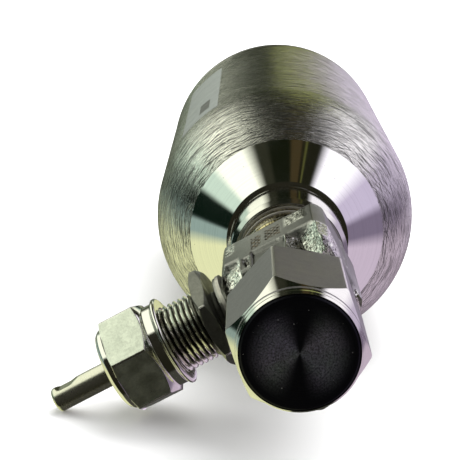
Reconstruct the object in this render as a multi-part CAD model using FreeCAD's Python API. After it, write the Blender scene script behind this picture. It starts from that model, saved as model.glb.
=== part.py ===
"""Gas sample cylinder with a needle valve, modelled lying on its wall and its valve stem.

Millimetres. The cylinder's axis is the Y axis and the valve is towards -Y. The origin is on that
axis, halfway along the straight wall, and +Z is up. Distances called "a" run forwards (-Y) from
the front edge of the straight wall. Distances called "q" run outwards along the side port's axis.
"""
import FreeCAD, Part
import math
import os

os.makedirs("parts", exist_ok=True)

# --- vessel ---------------------------------------------------------------------------------
TANK_R = 25.4            # 2 in outside diameter
WALL = 2.4
WALL_LEN = 70.0          # straight wall
SHOULDER_R = 20.4        # arc of the rolled shoulder
SHOULDER_DEG = 50.0      # where the shoulder runs into the turned cone
BASE_ROUND = 7.0
BASE_LEN = 10.0
BASE_DISH = 2.2
BOSS_R = 10.6            # neck boss
BOSS_BACK = 20.6
BOSS_FRONT = 33.0
INLET_R = 6.5            # bore in the boss for the valve's inlet nipple
LABEL_FROM = 121.0       # degrees round the wall, from +X towards +Z
LABEL_TO = 143.0
LABEL_THICK = 0.08       # thinner than a clamp's clearance

# --- valve body -----------------------------------------------------------------------------
SIDE_A = 46.0            # side port's place along the cylinder
SIDE_DIP = 31.05         # degrees below horizontal, so the stem's tip just meets the floor
BODY_HALF_S = 9.8        # forging, along the side axis
BODY_HALF_W = 8.0        # forging, across it
BODY_BACK = 36.5
BODY_FRONT = 59.0
PASSAGE_R = 1.8
SEAT_Q = -5.5
BOSS_Q = 10.8            # face of the side boss
NOSE_R = 7.05            # outlet nose, 9/16 in class thread
NOSE_FRONT = 72.0

# --- bonnet, stem and packing ---------------------------------------------------------------
STEM_R = 2.18
STEM_END = 46.0
STEM_BORE_R = 3.3
RELIEF_R = 1.95          # groove that ends just outside the packing nut, behind the exposed length
RELIEF_Q = 33.35
RELIEF_LEN = 1.0
PANEL_R = 5.97           # M12 x 1 panel thread on the bonnet
PANEL_PITCH = 0.95
HEX_SIDE_AF = 16.0
HEX_NUT_TURN = 20.0      # first corner, degrees from the front towards up
HEX_FLANGE_TURN = 33.0
FLANGE_BACK = 13.2
FLANGE_FRONT = 15.5
BONNET_TOP = 30.6
PACK_R = 4.25
RUN = 0.03               # running clearance on the stem, on the radius

# --- outlet nut -----------------------------------------------------------------------------
HEX_MAIN_AF = 19.0       # 3/4 in class spanner size
HEX_MAIN_TURN = -7.6     # first corner, degrees from +X towards +Z
HEX_MAIN_BACK = 61.8
HEX_MAIN_FRONT = 81.4
COLLAR_R = 9.4
DISC_R = 8.76
DISC_FRONT = 83.6

V = FreeCAD.Vector


def placement(origin, z_dir, x_dir):
    """Placement whose local Z runs along z_dir and local X along x_dir."""
    return FreeCAD.Placement(origin, FreeCAD.Rotation(x_dir, V(0, 0, 0), z_dir, "ZXY"))


DIP = math.radians(SIDE_DIP)
OUT = V(-math.cos(DIP), 0, -math.sin(DIP))
MAIN = placement(V(0, -WALL_LEN / 2, 0), V(0, -1, 0), V(1, 0, 0))
SIDE = placement(V(0, -WALL_LEN / 2 - SIDE_A, 0), OUT, V(0, -1, 0))


def placed(shape, place):
    """Copy of a shape built about local Z, moved onto an axis."""
    moved = shape.copy()
    moved.Placement = place.multiply(moved.Placement)
    return moved


def turned(place, edges):
    """Solid of revolution. edges is a closed run of (r, z) points; a point of four numbers is
    the middle and the end of an arc."""
    lines = []
    last = V(edges[0][0], 0, edges[0][1])
    for item in edges[1:] + [edges[0][:2]]:
        end = V(item[-2], 0, item[-1])
        if len(item) == 4:
            lines.append(Part.Arc(last, V(item[0], 0, item[1]), end).toShape())
        elif last.distanceToPoint(end) > 1e-6:
            lines.append(Part.makeLine(last, end))
        last = end
    face = Part.Face(Part.Wire(lines))
    return placed(face.revolve(V(0, 0, 0), V(0, 0, 1), 360), place)


def ring(place, r_in, r_out, z0, z1, chamfer=0.0):
    """Plain ring or disc with chamfered outer edges."""
    outer = [(r_out - chamfer, z0), (r_out, z0 + chamfer), (r_out, z1 - chamfer), (r_out - chamfer, z1)]
    if chamfer == 0.0:
        outer = [(r_out, z0), (r_out, z1)]
    return turned(place, [(r_in, z0)] + outer + [(r_in, z1)])


def rod(place, r, z0, z1):
    """Plain cylinder for cutting or joining."""
    cylinder = Part.makeCylinder(r, z1 - z0, V(0, 0, z0))
    return placed(cylinder, place)


def hex_bar(place, across, z0, z1, turn):
    """Hexagonal bar with its first corner turned from local X."""
    r = across / math.sqrt(3)
    corners = []
    for k in range(7):
        angle = math.radians(turn + 60 * k)
        corners.append(V(r * math.cos(angle), r * math.sin(angle), z0))
    bar = Part.Face(Part.makePolygon(corners)).extrude(V(0, 0, z1 - z0))
    return placed(bar, place)


def on_side(q, toward_front=0.0, across=0.0):
    """Point given along the side port's axis, towards the front, and across both."""
    return SIDE.multVec(V(toward_front, across, q))


nodes = {}

# --- vessel ---------------------------------------------------------------------------------
centre = TANK_R - SHOULDER_R
half = math.radians(SHOULDER_DEG / 2)
full = math.radians(SHOULDER_DEG)
inner = SHOULDER_R - WALL


def shoulder(radius, angle):
    """Point on the rolled shoulder, as (r, a)."""
    return (centre + radius * math.cos(angle), radius * math.sin(angle))


nodes["cylinder_shell"] = turned(MAIN, [
    (TANK_R - WALL, -WALL_LEN), (TANK_R, -WALL_LEN), (TANK_R, 0),
    shoulder(SHOULDER_R, half) + shoulder(SHOULDER_R, full), shoulder(inner, full),
    shoulder(inner, half) + (TANK_R - WALL, 0)])

cone_out = shoulder(SHOULDER_R, full)
cone_in = shoulder(inner, full)
neck_a = cone_out[1] + (cone_out[0] - BOSS_R - 0.5) / math.tan(full)
nodes["front_cone"] = turned(MAIN, [
    cone_in, cone_out, (BOSS_R + 0.5, neck_a), (BOSS_R - 0.4, neck_a + 0.1),
    (BOSS_R - 0.4, neck_a - 3.1)])

back = -WALL_LEN - BASE_LEN
turn_r = TANK_R - BASE_ROUND
edge = BASE_ROUND * math.sqrt(0.5)
nodes["base_head"] = turned(MAIN, [
    (0, back + BASE_DISH), (turn_r - 5, back + BASE_DISH - 0.4), (turn_r - 1, back),
    (turn_r, back), (turn_r + edge, back + BASE_ROUND - edge, TANK_R, back + BASE_ROUND),
    (TANK_R, -WALL_LEN), (TANK_R - WALL, -WALL_LEN), (TANK_R - WALL, back + BASE_ROUND),
    (turn_r + 2.8, back + 2.9), (turn_r - 1, back + WALL + 0.3),
    (turn_r - 5, back + WALL + BASE_DISH), (0, back + WALL + BASE_DISH + 0.2)])

nodes["neck_boss"] = turned(MAIN, [
    (INLET_R, 15.0), (BOSS_R - 0.4, 15.0), (BOSS_R - 0.4, BOSS_BACK + 1.0), (BOSS_R, BOSS_BACK + 1.5),
    (BOSS_R, BOSS_FRONT - 0.8), (BOSS_R - 0.6, BOSS_FRONT), (INLET_R, BOSS_FRONT)])

label = ring(MAIN, TANK_R, TANK_R + LABEL_THICK, -60.0, -4.0)
wedge = Part.makeBox(60, 200, 60, V(0, -100, 0))
wedge.rotate(V(0, 0, 0), V(0, 1, 0), -LABEL_FROM)
other = Part.makeBox(60, 200, 60, V(-60, -100, 0))
other.rotate(V(0, 0, 0), V(0, 1, 0), 180.0 - LABEL_TO)
nodes["info_label"] = label.common(wedge).common(other)

# --- valve body -----------------------------------------------------------------------------
bar = Part.makeBox(BODY_FRONT - BODY_BACK, 2 * BODY_HALF_W, 2 * BODY_HALF_S,
                   V(BODY_BACK - SIDE_A, -BODY_HALF_W, -BODY_HALF_S))
bar = placed(bar, SIDE)
waist = turned(MAIN, [(0, 33.8), (8.6, 33.8), (8.6, 36.2), (11.4, 39.5), (11.4, 55.5), (9.0, BODY_FRONT),
                      (0, BODY_FRONT)])
forging = bar.common(waist)
forging = forging.fuse(turned(MAIN, [(0, 33.8), (8.6, 33.8), (8.6, 36.6), (9.0, 38.5), (0, 38.5)]))
forging = forging.fuse(ring(SIDE, 0, 7.9, 0, BOSS_Q, 1.0))
forging = forging.fuse(turned(MAIN, [(0, 20.0), (6.0, 20.0), (6.45, 20.6), (6.45, 34.0), (0, 34.0)]))
forging = forging.fuse(turned(MAIN, [
    (0, 55.0), (8.0, 55.0), (8.0, 60.6), (NOSE_R - 0.7, 61.2), (NOSE_R - 0.7, 63.0), (NOSE_R, 63.7),
    (NOSE_R, NOSE_FRONT - 0.8), (NOSE_R - 0.8, NOSE_FRONT), (0, NOSE_FRONT)]))
forging = forging.cut(rod(MAIN, 2.0, 19.0, 36.0))
forging = forging.cut(rod(MAIN, PASSAGE_R, SIDE_A, NOSE_FRONT + 1))
forging = forging.cut(rod(SIDE, 1.5, SEAT_Q - 2.0, SEAT_Q + 1))
forging = forging.cut(rod(SIDE, 2.6, SEAT_Q, 0))
forging = forging.cut(rod(SIDE, 3.4, SEAT_Q + 2.3, BOSS_Q + 1))
forging = forging.cut(rod(SIDE, 4.4, 5.6, BOSS_Q + 1))
drill_from = MAIN.multVec(V(0, 0, 34.6))
drill_to = on_side(SEAT_Q - 1.2)
drill = Part.makeCylinder(1.2, drill_from.distanceToPoint(drill_to), drill_from, drill_to.sub(drill_from))
nodes["valve_body"] = forging.cut(drill).removeSplitter()

nodes["inlet_gasket"] = ring(MAIN, 6.6, 8.9, BOSS_FRONT, 33.8)
nodes["inlet_filter"] = ring(MAIN, 0, 2.0, 26.0, 28.5)
nodes["outage_tube"] = ring(MAIN, 1.3, 2.0, -28.0, 25.0)
nodes["seat_insert"] = turned(SIDE, [
    (0.9, SEAT_Q), (2.6, SEAT_Q), (2.6, SEAT_Q + 2.3), (1.5, SEAT_Q + 2.3), (0.9, SEAT_Q + 0.9)])

# --- bonnet ---------------------------------------------------------------------------------
thread = [(PANEL_R - 0.55, FLANGE_FRONT - 0.2), (PANEL_R - 0.55, FLANGE_FRONT + 0.25)]
z = FLANGE_FRONT + 0.25
while z + PANEL_PITCH < BONNET_TOP - 0.6:
    thread += [(PANEL_R, z + 0.40 * PANEL_PITCH), (PANEL_R, z + 0.60 * PANEL_PITCH),
               (PANEL_R - 0.55, z + PANEL_PITCH)]
    z += PANEL_PITCH
core = turned(SIDE, [
    (STEM_BORE_R, 6.0), (4.38, 6.0), (4.38, 11.4), (6.2, 11.4), (6.2, 12.0), (4.3, 12.3),
    (4.3, FLANGE_BACK + 0.2), (5.0, FLANGE_BACK + 0.2)] + thread + [
    (PANEL_R - 0.55, BONNET_TOP), (PACK_R, BONNET_TOP), (PACK_R, 27.0), (2.4, 27.0), (2.4, 26.2),
    (STEM_BORE_R, 26.2)])
flange = hex_bar(SIDE, HEX_SIDE_AF, FLANGE_BACK, FLANGE_FRONT, HEX_FLANGE_TURN).cut(rod(SIDE, 5.0, 10, 20))
crown = turned(SIDE, [(0, FLANGE_BACK), (8.1, FLANGE_BACK), (9.4, FLANGE_BACK + 0.8),
                      (9.4, FLANGE_FRONT - 0.8), (8.1, FLANGE_FRONT), (0, FLANGE_FRONT)])
nodes["bonnet"] = core.fuse(flange.common(crown)).removeSplitter()
nodes["bonnet_gasket"] = ring(SIDE, 4.45, 6.4, BOSS_Q, 11.4)
nodes["stem_guide"] = ring(SIDE, 1.9 + RUN, STEM_BORE_R, 6.0, 14.4)
nodes["packing_lower"] = ring(SIDE, STEM_R + RUN, PACK_R, 27.0, 28.2)
nodes["packing_upper"] = ring(SIDE, STEM_R + RUN, PACK_R, 28.2, 29.4)

# --- stem: the lower half only slides, the upper half turns in the bonnet ----------------------
nodes["stem_lower"] = turned(SIDE, [
    (0, -1.0), (1.9, -1.0), (1.9, 18.2), (1.1, 18.2), (1.1, 20.2), (1.75, 20.2), (1.75, 21.1),
    (1.4, 21.4), (0, 21.4)])
nodes["needle_tip"] = turned(SIDE, [(0, -2.9), (0.5, -2.9), (1.2, -1.0), (0, -1.0)])
upper = turned(SIDE, [
    (2.05, 18.8), (3.0, 18.8), (3.22, 19.1), (3.22, 25.3), (2.9, 25.7), (STEM_R, 25.7),
    (STEM_R, RELIEF_Q), (RELIEF_R, RELIEF_Q), (RELIEF_R, RELIEF_Q + RELIEF_LEN),
    (STEM_R, RELIEF_Q + RELIEF_LEN), (STEM_R, STEM_END - 0.6),
    (STEM_R - 0.18, STEM_END - 0.15, STEM_R - 0.6, STEM_END), (0, STEM_END),
    (0, 21.6), (2.05, 21.6)])
notch = Part.makePolygon([V(-4, STEM_R + 0.5, 40.0), V(-4, STEM_R - 0.5, 42.2), V(-4, STEM_R - 0.5, 44.5),
                          V(-4, STEM_R + 0.5, 45.2), V(-4, STEM_R + 0.5, 40.0)])
nodes["stem_upper"] = upper.cut(placed(Part.Face(notch).extrude(V(8, 0, 0)), SIDE))
nodes["stem_clip"] = ring(SIDE, 1.3, 2.05, 18.9, 19.9)

# --- packing nut -----------------------------------------------------------------------------
NUT_BORE_R = PANEL_R + 0.1
nodes["packing_gland"] = turned(SIDE, [
    (STEM_R + RUN, 29.5), (PACK_R - 0.08, 29.5), (PACK_R - 0.08, 31.0), (5.3, 31.0), (5.3, 31.9),
    (STEM_R + RUN, 31.9)])
nut = hex_bar(SIDE, HEX_SIDE_AF, 25.3, 32.6, HEX_NUT_TURN)
nut = nut.common(turned(SIDE, [(0, 25.3), (8.0, 25.3), (9.4, 26.0), (9.4, 32.2), (8.3, 32.6), (0, 32.6)]))
nut = nut.fuse(ring(SIDE, 0, 7.35, 23.2, 34.2, 0.3))
nut = nut.cut(rod(SIDE, NUT_BORE_R, 23.0, 32.0)).cut(rod(SIDE, 2.6, 20.0, 36.0))
nodes["packing_nut"] = nut.removeSplitter()
nodes["nut_lip_ring"] = ring(SIDE, NUT_BORE_R, 7.9, 22.4, 23.2, 0.2)

# --- outlet nut and plug -----------------------------------------------------------------------
nodes["outlet_gasket"] = ring(MAIN, 2.6, 6.4, NOSE_FRONT + 0.05, NOSE_FRONT + 0.75)
nodes["blind_plug"] = turned(MAIN, [
    (0, 72.75), (6.8, 72.75), (6.8, 77.0), (6.2, 77.6), (4.9, 77.6), (4.9, 80.2), (0, 80.2)])
nut = hex_bar(MAIN, HEX_MAIN_AF, HEX_MAIN_BACK, HEX_MAIN_FRONT, HEX_MAIN_TURN)
nut = nut.common(turned(MAIN, [
    (0, HEX_MAIN_BACK), (9.6, HEX_MAIN_BACK), (11.2, HEX_MAIN_BACK + 0.7), (11.2, 79.0),
    (COLLAR_R, HEX_MAIN_FRONT), (0, HEX_MAIN_FRONT)]))
nut = nut.fuse(ring(MAIN, 0, COLLAR_R, 79.0, 83.3, 0.25))
nut = nut.cut(rod(MAIN, NOSE_R + 0.1, 60.0, 78.0)).cut(rod(MAIN, 5.2, 77.0, 84.0))
nodes["outlet_nut"] = nut.cut(rod(MAIN, DISC_R, 80.6, 84.0)).removeSplitter()
nodes["end_disc"] = turned(MAIN, [
    (0, 80.6), (DISC_R, 80.6), (DISC_R, DISC_FRONT - 0.3), (DISC_R - 0.3, DISC_FRONT), (0, DISC_FRONT)])

for name, shape in nodes.items():
    shape.exportStep("parts/" + name + ".step")
    box = shape.BoundBox
    print(name, shape.isValid(), len(shape.Solids), round(shape.Volume, 1),
          [round(v, 2) for v in (box.XMin, box.YMin, box.ZMin, box.XMax, box.YMax, box.ZMax)])
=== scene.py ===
"""Looks for a small stainless gas sample cylinder with a needle valve, lying on its wall.

Sizes are in millimetres and become metres when a mesh is made. The cylinder's axis is Y, the valve
is towards -Y, and "a" runs forwards from the front edge of the straight wall. The side port's own
axis has "q", which runs outwards from the cylinder's axis.
"""
import logging
import math
from dataclasses import dataclass, field
from enum import Enum
from functools import lru_cache
from typing import Callable, Sequence

import bmesh
import bpy
import numpy as np
from mathutils import Matrix, Vector, noise


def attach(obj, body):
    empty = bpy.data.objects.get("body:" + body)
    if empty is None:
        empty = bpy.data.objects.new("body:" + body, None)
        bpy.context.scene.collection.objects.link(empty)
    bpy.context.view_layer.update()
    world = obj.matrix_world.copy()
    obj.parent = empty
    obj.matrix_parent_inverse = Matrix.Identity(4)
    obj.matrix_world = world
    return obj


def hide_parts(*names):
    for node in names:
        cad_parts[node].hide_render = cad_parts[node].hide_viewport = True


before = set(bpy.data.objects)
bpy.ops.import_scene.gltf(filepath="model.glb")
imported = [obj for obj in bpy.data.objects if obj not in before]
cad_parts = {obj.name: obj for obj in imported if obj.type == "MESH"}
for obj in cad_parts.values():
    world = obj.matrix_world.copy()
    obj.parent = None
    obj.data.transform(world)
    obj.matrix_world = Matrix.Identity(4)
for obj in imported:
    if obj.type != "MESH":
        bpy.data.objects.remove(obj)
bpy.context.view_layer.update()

LOG = logging.getLogger("gas_cylinder")
MM = 0.001
SAME_SPOT = 1e-7
NO_LENGTH = 1e-8
SHARP = math.radians(34)
BROAD_FACES = 80
FLAT_LEAN = 0.12
# CORNER_LINE: degrees either side of a hexagon corner that get a painted highlight line.
CORNER_LINE = 1.2
Point = tuple[float, ...]
Colour = tuple[float, float, float]


# ------------------------------------------------------------------------------------------------
# Places and skins
# ------------------------------------------------------------------------------------------------
@dataclass(frozen=True)
class Axis:
    """A turning axis: where it starts, where it points, and which way angle zero faces."""

    origin: Vector
    out: Vector
    zero: Vector

    def place(self, radius: float, angle: float, along: float) -> Vector:
        """Point in metres at a radius (mm), an angle (radians) and a distance along (mm).

        Args:
            radius: distance from the axis, in mm.
            angle: turn from the zero way, in radians.
            along: distance from the origin along the axis, in mm.

        Returns:
            The point, in metres.
        """
        across = self.out.cross(self.zero)
        spoke = self.zero * math.cos(angle) + across * math.sin(angle)
        return self.origin + (spoke * radius + self.out * along) * MM

    def reach(self, spot: Vector) -> float:
        """Distance in metres from the axis to a point."""
        away = spot - self.origin
        return (away - self.out * away.dot(self.out)).length


WALL_FRONT = -35.0
PORT_A = 46.0
DIP = math.radians(31.05)
MAIN = Axis(Vector((0, WALL_FRONT * MM, 0)), Vector((0, -1, 0)), Vector((1, 0, 0)))
PORT = Axis(Vector((0, (WALL_FRONT - PORT_A) * MM, 0)),
            Vector((-math.cos(DIP), 0, -math.sin(DIP))), Vector((0, -1, 0)))


def clamp(value: float) -> float:
    """The value, held between 0 and 1."""
    return min(1.0, max(0.0, value))


def eased(points: Sequence[Point], steps: int = 3) -> list[Point]:
    """Rounds the corners of an open profile.

    Args:
        points: (radius, along) points, with an optional third number, the corner's rounding in mm.
        steps: how many pieces each rounded corner gets.

    Returns:
        The profile's (radius, along) points with every rounded corner replaced by a short curve.
    """
    run: list[Point] = []
    for k, point in enumerate(points):
        ease = point[2] if len(point) > 2 else 0.0
        if ease <= 0.0 or k in (0, len(points) - 1):
            run.append((point[0], point[1]))
            continue
        here, before, after = (np.array(points[j][:2], float) for j in (k, k - 1, k + 1))
        back, ahead = before - here, after - here
        reach_back = min(ease, 0.45 * np.linalg.norm(back)) / max(np.linalg.norm(back), 1e-9)
        reach_ahead = min(ease, 0.45 * np.linalg.norm(ahead)) / max(np.linalg.norm(ahead), 1e-9)
        start, end = here + back * reach_back, here + ahead * reach_ahead
        for step in range(steps + 1):
            t = step / steps
            spot = start * (1 - t) ** 2 + here * 2 * t * (1 - t) + end * t * t
            run.append((float(spot[0]), float(spot[1])))
    return run


@dataclass(frozen=True)
class Hexagon:
    """A spanner hexagon: its width across flats and where its first corner points."""

    across: float
    turn: float
    edge: float = 0.10

    def radius(self, angle: float) -> float:
        """Distance from the axis to the hexagon at an angle, with the corners slightly broken.

        Args:
            angle: turn about the axis, in radians.

        Returns:
            The distance, in mm.
        """
        flat = (math.degrees(angle) - self.turn) % 60.0 - 30.0
        corner = self.across / math.sqrt(3)
        return min(self.across / 2 / math.cos(math.radians(flat)), corner - self.edge)

    def columns(self) -> list[float]:
        """Angles for the mesh's columns, close together at the corners.

        Returns:
            The angles, in radians.
        """
        steps = (0.0, 0.7, 1.5, 4.0, 8.0, 12.0, 16.0, 20.0, 24.0, 28.0, 32.0, 36.0, 40.0, 44.0, 48.0,
                 52.0, 56.0, 58.5, 59.3)
        return [math.radians(self.turn + 60 * side + step) for side in range(6) for step in steps]


def round_columns(count: int) -> list[float]:
    """Evenly spaced angles for a round piece."""
    return [2 * math.pi * k / count for k in range(count)]


def make_object(name: str, mesh: bpy.types.Mesh) -> bpy.types.Object:
    """Links a new object that holds the mesh.

    Args:
        name: the object's name.
        mesh: the mesh that it holds.

    Returns:
        The new object.
    """
    piece = bpy.data.objects.new(name, mesh)
    bpy.context.scene.collection.objects.link(piece)
    return piece


def skin(name: str, axis: Axis, columns: Sequence[float],
         profile: Callable[[float], Sequence[Point]]) -> bpy.types.Object:
    """Makes a closed turned skin whose profile may change with the angle.

    Args:
        name: the piece's name.
        axis: the axis that it is turned about.
        columns: the angles of its columns, in radians.
        profile: gives the (radius, along) points at an angle, always the same number of them.

    Returns:
        The new object, with a "skin" UV map: turns round the axis, and mm along the profile.
    """
    rows = [list(profile(angle)) for angle in columns]
    tall, wide = len(rows[0]), len(columns)
    spots = [axis.place(r, angle, z) for angle, row in zip(columns, rows) for r, z in row]
    reach = [0.0]
    for one, two in zip(rows[0], rows[0][1:] + rows[0][:1]):
        reach.append(reach[-1] + math.hypot(two[0] - one[0], two[1] - one[1]))
    faces, turns = [], []
    for c in range(wide):
        d = (c + 1) % wide
        left = columns[c] / (2 * math.pi)
        right = columns[d] / (2 * math.pi) + (1.0 if d == 0 else 0.0)
        for r in range(tall):
            s = (r + 1) % tall
            faces.append((c * tall + r, d * tall + r, d * tall + s, c * tall + s))
            turns.append(((left, reach[r]), (right, reach[r]), (right, reach[r + 1]), (left, reach[r + 1])))
    mesh = bpy.data.meshes.new(name)
    mesh.from_pydata(spots, [], faces)
    layer = mesh.uv_layers.new(name="skin")
    for polygon, corner in zip(mesh.polygons, turns):
        for loop, spot in zip(polygon.loop_indices, corner):
            layer.data[loop].uv = spot
    mesh.validate()
    build = bmesh.new()
    build.from_mesh(mesh)
    bmesh.ops.remove_doubles(build, verts=build.verts, dist=SAME_SPOT)
    bmesh.ops.dissolve_degenerate(build, edges=build.edges, dist=NO_LENGTH)
    bmesh.ops.recalc_face_normals(build, faces=build.faces)
    build.to_mesh(mesh)
    build.free()
    mesh.shade_smooth()
    mesh.set_sharp_from_angle(angle=SHARP)
    return make_object(name, mesh)


def weigh(piece: bpy.types.Object) -> bpy.types.Object:
    """Lets the broad faces set the shading, so that flats stay flat beside broken edges.

    Args:
        piece: the object.

    Returns:
        The same object.
    """
    modifier = piece.modifiers.new("weighted", "WEIGHTED_NORMAL")
    modifier.keep_sharp = True
    modifier.weight = BROAD_FACES
    return piece


def turned(name: str, axis: Axis, points: Sequence[Point], count: int = 144) -> bpy.types.Object:
    """Makes a round piece from one profile with eased corners."""
    run = eased(points)
    return weigh(skin(name, axis, round_columns(count), lambda angle: run))


def hexed(name: str, axis: Axis, shape: Hexagon, back: Sequence[Point],
          chamfers: tuple[Point, Point, Point, Point], front: Sequence[Point]) -> bpy.types.Object:
    """Makes a hexagon with conical chamfers between two round profiles.

    Args:
        name: the piece's name.
        axis: the axis that it is turned about.
        shape: the hexagon.
        back: profile points before the hexagon.
        chamfers: the back cone's small and large end, then the front cone's large and small end.
        front: profile points after the hexagon.

    Returns:
        The new object.
    """
    small_back, large_back, large_front, small_front = chamfers

    def crossing(wide: Point, narrow: Point, radius: float) -> float:
        """Place along where a cone reaches a radius."""
        share = (wide[0] - radius) / (wide[0] - narrow[0])
        return wide[1] + (narrow[1] - wide[1]) * clamp(share)

    def profile(angle: float) -> list[Point]:
        """The hexagon's section at one angle.

        Args:
            angle: turn about the axis, in radians.

        Returns:
            The section's (radius, along) points.
        """
        radius = shape.radius(angle)
        start = crossing(large_back, small_back, radius)
        end = crossing(large_front, small_front, radius)
        return eased([*back, (*small_back, 0.05), (radius, start, 0.07), (radius, start + 0.35),
                      (radius, end - 0.35), (radius, end, 0.07), (*small_front, 0.05), *front])

    piece = skin(name, axis, shape.columns(), profile)
    place = Matrix((axis.zero, axis.out.cross(axis.zero), axis.out))
    # Marks the hexagon's corner lines, where the satin finish paints a highlight.
    layer = piece.data.attributes.new("edge", "FLOAT", "POINT")
    for vertex, value in zip(piece.data.vertices, layer.data):
        x, y, _ = place @ (vertex.co - axis.origin)
        off = (math.degrees(math.atan2(y, x)) - shape.turn + 30.0) % 60.0 - 30.0
        corner = math.hypot(x, y) > (shape.across / math.sqrt(3) - shape.edge - 0.05) * MM
        value.value = 1.0 if corner and abs(off) < CORNER_LINE else 0.0
    return weigh(piece)


def polish_ends(piece: bpy.types.Object, axis: Axis, shape: Hexagon, look: "Look") -> None:
    """Gives everything but a hexagon's flats a second finish.

    Args:
        piece: the hexagon.
        axis: the axis that it is turned about.
        shape: its spanner hexagon.
        look: the second finish.
    """
    piece.data.materials.append(look.material())
    for polygon in piece.data.polygons:
        upright = abs(polygon.normal.dot(axis.out)) < FLAT_LEAN
        flat = upright and axis.reach(polygon.center) > (shape.across / 2 - 0.12) * MM
        polygon.material_index = 0 if flat else 1


# ------------------------------------------------------------------------------------------------
# Shader tools
# ------------------------------------------------------------------------------------------------
class Graph:
    """Adds nodes to a material's or a group's tree with short calls."""

    def __init__(self, tree: bpy.types.NodeTree) -> None:
        """Keeps the tree to work on."""
        self.tree = tree

    def add(self, kind: str, values: dict | None = None, **settings) -> bpy.types.Node:
        """Adds a node, sets its settings, and sets or links its inputs.

        Args:
            kind: the node's type name without "ShaderNode".
            values: input name or number to a value or to another node's output.
            **settings: the node's own properties.

        Returns:
            The new node.
        """
        node = self.tree.nodes.new("ShaderNode" + kind)
        for key, value in settings.items():
            setattr(node, key, value)
        for key, value in (values or {}).items():
            if isinstance(value, bpy.types.NodeSocket):
                self.tree.links.new(value, node.inputs[key])
            else:
                node.inputs[key].default_value = value
        return node

    def math(self, operation: str, *values: object) -> bpy.types.NodeSocket:
        """Math node on one to three values."""
        return self.add("Math", dict(enumerate(values)), operation=operation).outputs[0]

    def plus(self, one: object, two: object) -> bpy.types.NodeSocket:
        """Sum of two values."""
        return self.math("ADD", one, two)

    def minus(self, one: object, two: object) -> bpy.types.NodeSocket:
        """First value less the second."""
        return self.math("SUBTRACT", one, two)

    def times(self, one: object, two: object) -> bpy.types.NodeSocket:
        """Product of two values."""
        return self.math("MULTIPLY", one, two)

    def fit(self, value: object, low: float, high: float, to_low: float = 0.0,
            to_high: float = 1.0) -> bpy.types.NodeSocket:
        """Smoothly moves a value from one range to another and holds it there."""
        settings = {"Value": value, "From Min": low, "From Max": high, "To Min": to_low, "To Max": to_high}
        return self.add("MapRange", settings, interpolation_type="SMOOTHSTEP").outputs[0]

    def tint(self, share: object, one: object, two: object) -> bpy.types.NodeSocket:
        """Mixes two colours.

        Args:
            share: how much of the second colour.
            one: the first colour.
            two: the second colour.

        Returns:
            The mixed colour.
        """
        node = self.add("Mix", data_type="RGBA")
        for key, value in ((0, share), (6, one), (7, two)):
            if isinstance(value, bpy.types.NodeSocket):
                self.tree.links.new(value, node.inputs[key])
            else:
                node.inputs[key].default_value = (*value, 1.0) if isinstance(value, tuple) else value
        return node.outputs[2]

    def cloud(self, vector: object, scale: float, detail: float, rough: float = 0.55) -> bpy.types.NodeSocket:
        """Noise as one number."""
        values = {"Scale": scale, "Detail": detail, "Roughness": rough, "Vector": vector}
        return self.add("TexNoise", values).outputs[0]

    def group(self, tree: bpy.types.NodeTree, **values: object) -> bpy.types.Node:
        """Places a node group and sets its inputs, whose names have underscores for spaces.

        Args:
            tree: the group.
            **values: input names to values or to other nodes' outputs.

        Returns:
            The group's node.
        """
        node = self.tree.nodes.new("ShaderNodeGroup")
        node.node_tree = tree
        for key, value in values.items():
            socket = node.inputs[key.replace("_", " ")]
            if isinstance(value, bpy.types.NodeSocket):
                self.tree.links.new(value, socket)
            else:
                socket.default_value = value
        return node

    def mask(self, tree: bpy.types.NodeTree, **values: float) -> bpy.types.NodeSocket:
        """Places a node group and gives its Mask output."""
        return self.group(tree, **values).outputs["Mask"]


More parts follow.
